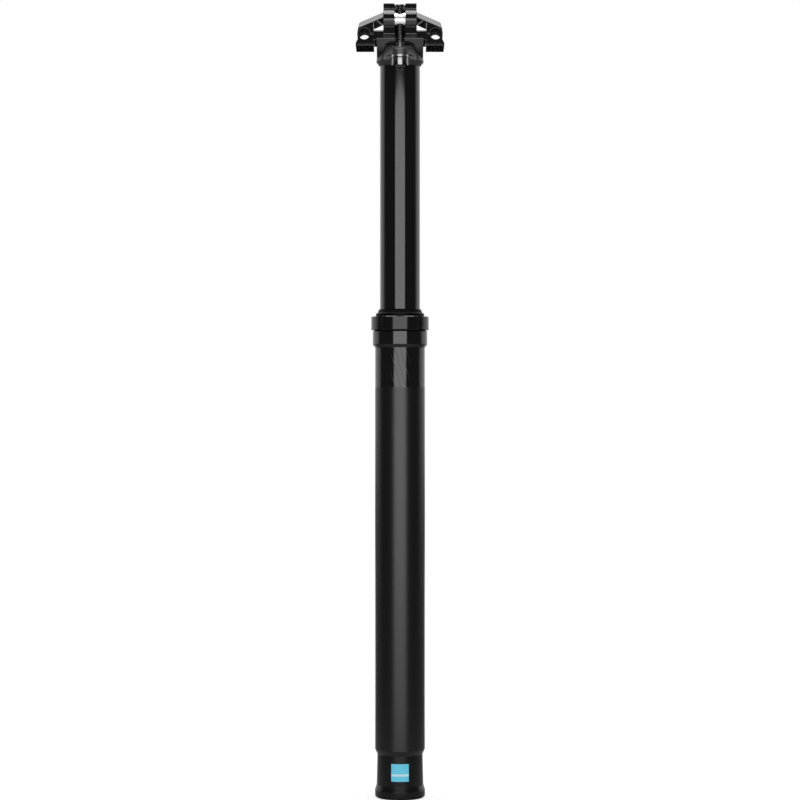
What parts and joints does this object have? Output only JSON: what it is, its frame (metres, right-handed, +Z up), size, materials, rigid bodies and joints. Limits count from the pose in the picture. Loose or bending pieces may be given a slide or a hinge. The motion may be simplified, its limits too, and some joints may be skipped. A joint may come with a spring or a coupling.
{
  "type": "dropper seatpost",
  "caption": "Telescopic bicycle seatpost: a stanchion with a two-bolt saddle rail clamp slides in an outer tube on a locking gas cartridge released by a cable lever in its foot.",
  "frame": {"origin": "on the post's axis, at the underside of the end piece at the bottom", "axes": "+Z up along the post towards the saddle clamp, +X across the saddle rails, -Y to the front"},
  "size_m": [0.0546, 0.051, 0.49],
  "materials": {
    "tube_black": "matt black anodised aluminium",
    "collar_black": "satin black anodised aluminium",
    "stanchion_black": "gloss black hard anodised aluminium",
    "forging_black": "fine blasted black forging",
    "steel": "plated steel",
    "polished_steel": "polished",
    "black_steel": "black oxide",
    "raw_alloy": "machined",
    "rubber": "matt",
    "bushing_plastic": "moulded",
    "brass": "machined"
  },
  "bodies": {
    "outer": {"outer_tube": "tube_black", "actuator_housing": "tube_black", "collar_nut": "collar_black", "collar_ring_seal": "rubber", "wiper_seal": "rubber", "upper_bushing": "bushing_plastic", "piston_rod": "polished_steel", "rod_piston": "raw_alloy", "rod_nut": "steel", "lever_pin": "steel", "return_spring": "steel"},
    "inner": {"stanchion": "stanchion_black", "head": "forging_black", "lower_bushing": "bushing_plastic", "guide_keys": "brass", "cartridge_body": "raw_alloy", "cartridge_gland": "raw_alloy", "cartridge_cap": "raw_alloy", "cartridge_clip": "black_steel"},
    "float": {"floating_piston": "raw_alloy"},
    "release": {"release_pin": "steel"},
    "lever": {"actuator_lever": "raw_alloy", "cable_barrel": "steel"},
    "cradle": {"lower_cradle": "forging_black"},
    "clamp": {"upper_clamp": "forging_black"},
    "front_nut": {"front_cross_nut": "polished_steel"},
    "rear_nut": {"rear_cross_nut": "polished_steel"},
    "front_screw": {"front_bolt": "steel", "front_washer": "steel"},
    "rear_screw": {"rear_bolt": "steel", "rear_washer": "steel"}
  },
  "joints": [
    {"name": "post_drop", "type": "slide", "parent": "outer", "child": "inner", "axis": [0, 0, -1], "range_m": [0, 0.15], "stiffness_N_per_m": 60, "springref_m": -0.2},
    {"name": "floating_piston_slide", "type": "slide", "parent": "inner", "child": "float", "axis": [0, 0, 1], "range_m": [0, 0.0318]},
    {"name": "actuator_lever_pull", "type": "hinge", "parent": "outer", "child": "lever", "pos_m": [0, 0.0055, 0.013], "axis": [-1, 0, 0], "range_deg": [0, 24]},
    {"name": "release_pin_slide", "type": "slide", "parent": "outer", "child": "release", "axis": [0, 0, 1], "range_m": [0, 0.0023], "stiffness_N_per_m": 400, "springref_m": -0.003, "deforming": ["return_spring"]},
    {"name": "saddle_tilt", "type": "hinge", "parent": "inner", "child": "cradle", "pos_m": [0, 0, 0.47075], "axis": [1, 0, 0], "range_deg": [-6, 6]},
    {"name": "clamp_lift", "type": "slide", "parent": "cradle", "child": "clamp", "axis": [0, 0, 1], "range_m": [0, 0.002]},
    {"name": "front_nut_turn", "type": "hinge", "parent": "clamp", "child": "front_nut", "pos_m": [0, -0.0195, 0.47835], "axis": [1, 0, 0], "range_deg": [-3.92, 3.92]},
    {"name": "rear_nut_turn", "type": "hinge", "parent": "clamp", "child": "rear_nut", "pos_m": [0, 0.0195, 0.47835], "axis": [1, 0, 0], "range_deg": [-3.92, 3.92]},
    {"name": "front_bolt_swing", "type": "hinge", "parent": "inner", "child": "front_screw", "pos_m": [0, -0.0195, 0.45705], "axis": [1, 0, 0], "range_deg": [-2.2, 2.2]},
    {"name": "rear_bolt_swing", "type": "hinge", "parent": "inner", "child": "rear_screw", "pos_m": [0, 0.0195, 0.45705], "axis": [1, 0, 0], "range_deg": [-2.2, 2.2]}
  ],
  "couplings": [
    {"joint": "floating_piston_slide", "follows": "post_drop", "ratio": 0.21139},
    {"joint": "actuator_lever_pull", "follows": "release_pin_slide", "rad_per_m": 181.82},
    {"joint": "front_nut_turn", "follows": "saddle_tilt", "ratio": -0.64319},
    {"joint": "rear_nut_turn", "follows": "saddle_tilt", "ratio": -0.64319},
    {"joint": "front_bolt_swing", "follows": "saddle_tilt", "ratio": 0.35681},
    {"joint": "rear_bolt_swing", "follows": "saddle_tilt", "ratio": 0.35681}
  ]
}
